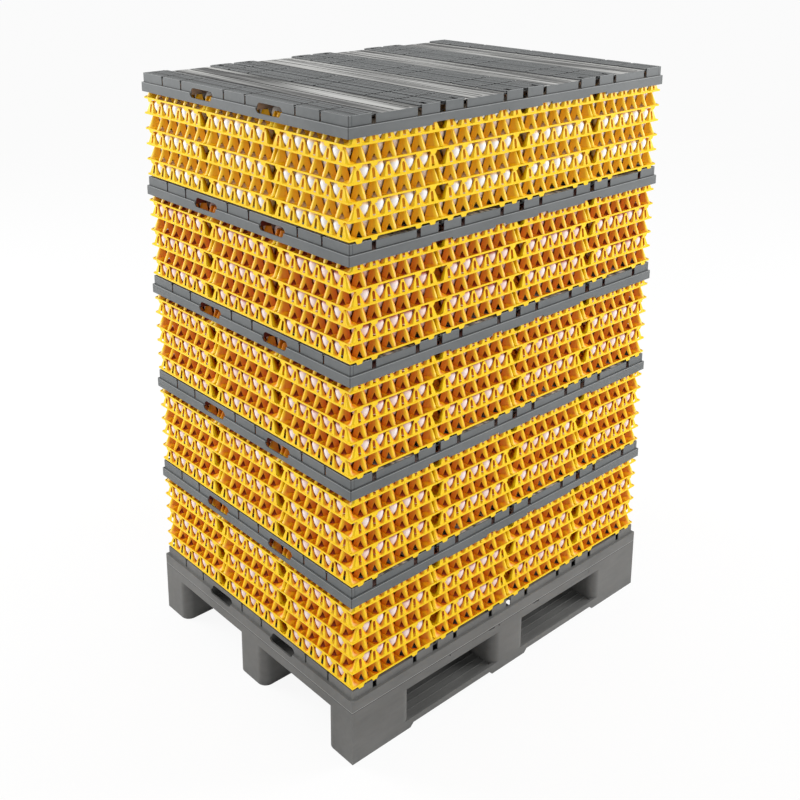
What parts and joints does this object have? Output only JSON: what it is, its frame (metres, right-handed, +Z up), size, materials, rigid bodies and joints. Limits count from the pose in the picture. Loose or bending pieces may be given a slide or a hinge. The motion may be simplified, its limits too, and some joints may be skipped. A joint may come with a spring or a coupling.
{
  "type": "egg transport pallet",
  "caption": "Loaded egg transport pallet: open plastic egg trays stacked cross-wise in tiers, with plastic divider decks between and on top, on a hollow plastic pallet.",
  "frame": {"origin": "on the floor, under the centre of the pallet", "axes": "+Z up, X along the pallet's long side, Y along its short side"},
  "size_m": [1.216, 0.915, 1.7273],
  "materials": {
    "tray_plastic": "satin, moulded",
    "divider_plastic": "matt, slightly worn",
    "pallet_plastic": "matt, slightly worn"
  },
  "bodies": {
    "pallet": {"pallet_base": "pallet_plastic", "pallet_deck": "pallet_plastic"},
    "tier_1": {"trays_tier1_level1": "tray_plastic", "trays_tier1_level2": "tray_plastic", "trays_tier1_level3": "tray_plastic", "trays_tier1_level4": "tray_plastic", "trays_tier1_level5": "tray_plastic", "trays_tier1_level6": "tray_plastic"},
    "divider_1_body": {"divider_1": "divider_plastic"},
    "tier_2": {"trays_tier2_level1": "tray_plastic", "trays_tier2_level2": "tray_plastic", "trays_tier2_level3": "tray_plastic", "trays_tier2_level4": "tray_plastic", "trays_tier2_level5": "tray_plastic", "trays_tier2_level6": "tray_plastic"},
    "divider_2_body": {"divider_2": "divider_plastic"},
    "tier_3": {"trays_tier3_level1": "tray_plastic", "trays_tier3_level2": "tray_plastic", "trays_tier3_level3": "tray_plastic", "trays_tier3_level4": "tray_plastic", "trays_tier3_level5": "tray_plastic", "trays_tier3_level6": "tray_plastic"},
    "divider_3_body": {"divider_3": "divider_plastic"},
    "tier_4": {"trays_tier4_level1": "tray_plastic", "trays_tier4_level2": "tray_plastic", "trays_tier4_level3": "tray_plastic", "trays_tier4_level4": "tray_plastic", "trays_tier4_level5": "tray_plastic", "trays_tier4_level6": "tray_plastic"},
    "divider_4_body": {"divider_4": "divider_plastic"},
    "tier_5": {"trays_tier5_level1": "tray_plastic", "trays_tier5_level2": "tray_plastic", "trays_tier5_level3": "tray_plastic", "trays_tier5_level4": "tray_plastic", "trays_tier5_level5": "tray_plastic", "trays_tier5_level6": "tray_plastic"},
    "divider_5_body": {"divider_5": "divider_plastic"}
  },
  "joints": [
    {"name": "tier_1_lift", "type": "slide", "parent": "pallet", "child": "tier_1", "axis": [0, 0, 1], "range_m": [0, 0.1]},
    {"name": "divider_1_lift", "type": "slide", "parent": "tier_1", "child": "divider_1_body", "axis": [0, 0, 1], "range_m": [0, 0.1]},
    {"name": "tier_2_lift", "type": "slide", "parent": "divider_1_body", "child": "tier_2", "axis": [0, 0, 1], "range_m": [0, 0.1]},
    {"name": "divider_2_lift", "type": "slide", "parent": "tier_2", "child": "divider_2_body", "axis": [0, 0, 1], "range_m": [0, 0.1]},
    {"name": "tier_3_lift", "type": "slide", "parent": "divider_2_body", "child": "tier_3", "axis": [0, 0, 1], "range_m": [0, 0.1]},
    {"name": "divider_3_lift", "type": "slide", "parent": "tier_3", "child": "divider_3_body", "axis": [0, 0, 1], "range_m": [0, 0.1]},
    {"name": "tier_4_lift", "type": "slide", "parent": "divider_3_body", "child": "tier_4", "axis": [0, 0, 1], "range_m": [0, 0.1]},
    {"name": "divider_4_lift", "type": "slide", "parent": "tier_4", "child": "divider_4_body", "axis": [0, 0, 1], "range_m": [0, 0.1]},
    {"name": "tier_5_lift", "type": "slide", "parent": "divider_4_body", "child": "tier_5", "axis": [0, 0, 1], "range_m": [0, 0.1]},
    {"name": "divider_5_lift", "type": "slide", "parent": "tier_5", "child": "divider_5_body", "axis": [0, 0, 1], "range_m": [0, 0.1]}
  ]
}
